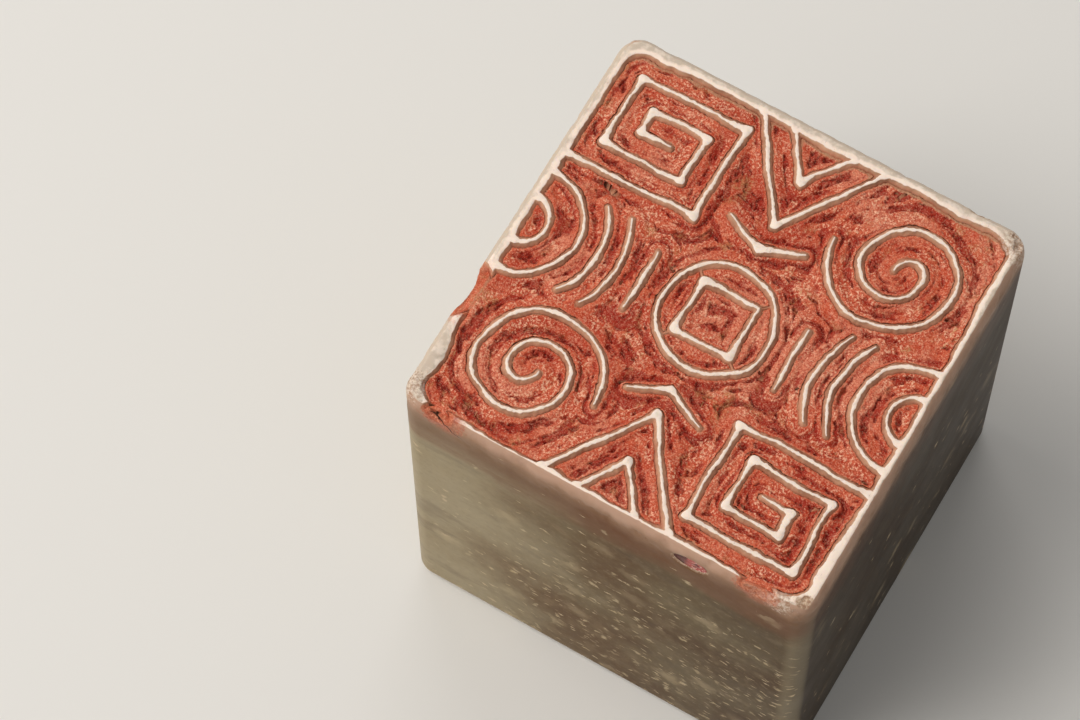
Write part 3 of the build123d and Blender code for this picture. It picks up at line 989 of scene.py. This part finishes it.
pasteFinish = pasteMaterial(pasteLook)
carrier = addObject("pasteCarrier", bpy.data.meshes.new("empty"))
addTree(carrier, buildPaste(reliefRule), {
    **guideValues, "Ground Level": paste["groundLevel"], "Thickness": paste["thickness"],
    "Sag": paste["sag"], "Grain": paste["grain"], "Pit Depth": paste["pitDepth"],
    "Flank Run": plan["flankRun"], "Finish": pasteFinish})
crust = baked(carrier, "crust")
bpy.data.objects.remove(carrier)
owner, island = splitPaste(crust)
for name, number in owner.items():
    mesh = islandMesh(crust, island == number, name)
    underside = [v.index for v in mesh.vertices if v.co.z < (paste["groundLevel"] + 0.03) * mm]
    wanted = paste["keptFaces" if name == "paste_ground" else "smallFaces"]
    mesh = thinned(mesh, name, wanted, underside)
    mesh = thinned(mesh, name, paste["keptFaces"])
    finishMesh(mesh)
    words = name.split("_")
    pieceName = words[0] + "".join(word.capitalize() for word in words[1:])
    addPiece(pieceName, mesh, [name])
    print("paste laid:", pieceName, len(mesh.polygons), "faces")
for guide in guides.values():
    bpy.data.objects.remove(guide)

# Old paste in the shell-shaped chip: a lens with a crusty face
chipFill = {
    "centre": (7.8, -20.5, 37.0), "radius": 3.0, "stretch": 0.62,
    "facePlane": -17.86, "crust": 0.07, "rings": 26, "spokes": 96,
}


def buildChipFill(look):
    centreX, centreY, centreZ = look["centre"]
    reach = math.sqrt(look["radius"] ** 2 - (look["facePlane"] - centreY) ** 2)
    rings, spokes = look["rings"], look["spokes"]
    generator = np.random.default_rng(11)
    waves = generator.uniform(-1, 1, (14, 4)) * (6.0, 6.0, math.pi, 1.0)
    front, back = [], []
    for ring in range(rings + 1):
        share = ring / rings
        for spoke in range(spokes):
            angle = 2 * math.pi * spoke / spokes
            dx, dz = reach * share * math.cos(angle), reach * share * math.sin(angle)
            deep = centreY + math.sqrt(look["radius"] ** 2 - dx * dx - dz * dz) - 0.03
            rough = sum(math.sin(a * dx + b * dz + c) * d for a, b, c, d in waves) / 5
            face = look["facePlane"] + look["crust"] * rough * (1 - share ** 6)
            front.append((centreX + dx, min(face, deep - 0.004), centreZ + dz * look["stretch"]))
            back.append((centreX + dx, deep, centreZ + dz * look["stretch"]))
    faces = []
    for ring in range(rings):
        for spoke in range(spokes):
            a, b = ring * spokes + spoke, ring * spokes + (spoke + 1) % spokes
            faces.append((a, b, b + spokes, a + spokes))
            a, b = a + len(front), b + len(front)
            faces.append((a, a + spokes, b + spokes, b))
    mesh = bpy.data.meshes.new("chipFill")
    mesh.from_pydata((np.array(front + back) * mm).tolist(), [], faces)
    work = bmesh.new()
    work.from_mesh(mesh)
    bmesh.ops.remove_doubles(work, verts=work.verts, dist=0.006 * mm)
    rim = [edge for edge in work.edges if edge.is_boundary]
    if rim:
        bmesh.ops.holes_fill(work, edges=rim)
    bmesh.ops.recalc_face_normals(work, faces=work.faces)
    work.to_mesh(mesh)
    work.free()
    return mesh


residueLook = {
    "dry": tint(98, 42, 30), "rose": tint(186, 84, 76), "crumb": tint(228, 190, 176), "dark": tint(66, 22, 14),
}


def residueMaterial(look):
    material, tree, shader = newMaterial("chipResidue")
    place = objectPlace(tree)
    wander = noise(place, 1.1, 3.0, 3.0)
    along = parts(place)[0] + wander * 1.2
    colour = blended(ramp(along, 7.5, 8.4), look["dry"], look["rose"])
    colour = layered(colour, look, (noise(place, 2.6, 5.0, 3.0), 0.5, 0.62, 0.8, "dark"))
    pale = ramp(noise(place, 4.5, 8.0, 2.0), 0.54, 0.62) * ramp(along, 7.8, 8.9)
    colour = blended(pale * 0.8, colour, look["crumb"])
    feedAll(shader, {
        "Base Color": colour, "Roughness": ramp(wander, 0.3, 0.7, 0.45, 0.7),
        "Normal": bumped(noise(place, 5.0, 2.0, 4.0, 0.65), 0.7, 0.1)})
    return material


chipMesh = buildChipFill(chipFill)
chipMesh.materials.append(residueMaterial(residueLook))
finishMesh(chipMesh)
addPiece("pasteSideChip", chipMesh, ["paste_side_chip"])
print("chip residue laid")

# Floor, lamps and camera
stage = {"floorTone": tint(232, 230, 226), "floorSize": 3.0, "roughness": 0.9}


def buildFloor(look):
    half = look["floorSize"] / 2
    mesh = bpy.data.meshes.new("floor")
    corners = [(-half, -half, 0), (half, -half, 0), (half, half, 0), (-half, half, 0)]
    mesh.from_pydata(corners, [], [(0, 1, 2, 3)])
    material, _, shader = newMaterial("floorTone")
    feedAll(shader, {"Base Color": look["floorTone"], "Roughness": look["roughness"]})
    mesh.materials.append(material)
    addObject("floor", mesh)


lamps = {
    # name: place in metres, size, power in watts, colour
    "keyLamp": ((-0.38, -0.22, 0.66), 0.5, 4.0, (1.0, 0.97, 0.93)),
    "fillLamp": ((-0.42, -0.62, 0.26), 0.6, 0.8, (1.0, 0.96, 0.90)),
    "rimLamp": ((-0.30, 0.52, 0.50), 0.5, 1.0, (1.0, 0.98, 0.96)),
}


def buildLamps(look):
    for name, (place, size, power, colour) in look.items():
        lamp = bpy.data.lights.new(name, "AREA")
        lamp.shape = "SQUARE"
        lamp.size = size
        lamp.energy = power
        lamp.color = colour
        holder = addObject(name, lamp)
        holder.location = place
        holder.rotation_euler = (Vector((0, 0, 0.03)) - Vector(place)).to_track_quat("-Z", "Y").to_euler()
        holder.visible_camera = False
    world = bpy.data.worlds.new("studio")
    world.use_nodes = True
    feedAll(world.node_tree.nodes["Background"], {"Color": (1.0, 0.99, 0.97, 1.0), "Strength": 0.30})
    bpy.context.scene.world = world


camera = {
    "place": (0.055442, -0.118084, 0.350313),
    "right": (0.863160, 0.504893, -0.006120),
    "down": (0.465849, -0.800969, -0.376076),
    "forward": (-0.194781, 0.321763, -0.926569),
    "lens": 146.036,
}


def buildCamera(look):
    data = bpy.data.cameras.new("view")
    data.sensor_fit = "HORIZONTAL"
    data.sensor_width = 36.0
    data.lens = look["lens"]
    data.clip_start = 0.01
    data.clip_end = 10.0
    holder = addObject("view", data)
    axes = Matrix((look["right"], [-v for v in look["down"]], [-v for v in look["forward"]])).transposed()
    holder.matrix_world = Matrix.Translation(look["place"]) @ axes.to_4x4()
    bpy.context.scene.camera = holder


buildFloor(stage)
buildLamps(lamps)
buildCamera(camera)
bpy.context.scene.view_settings.view_transform = "Standard"
print("stage ready")
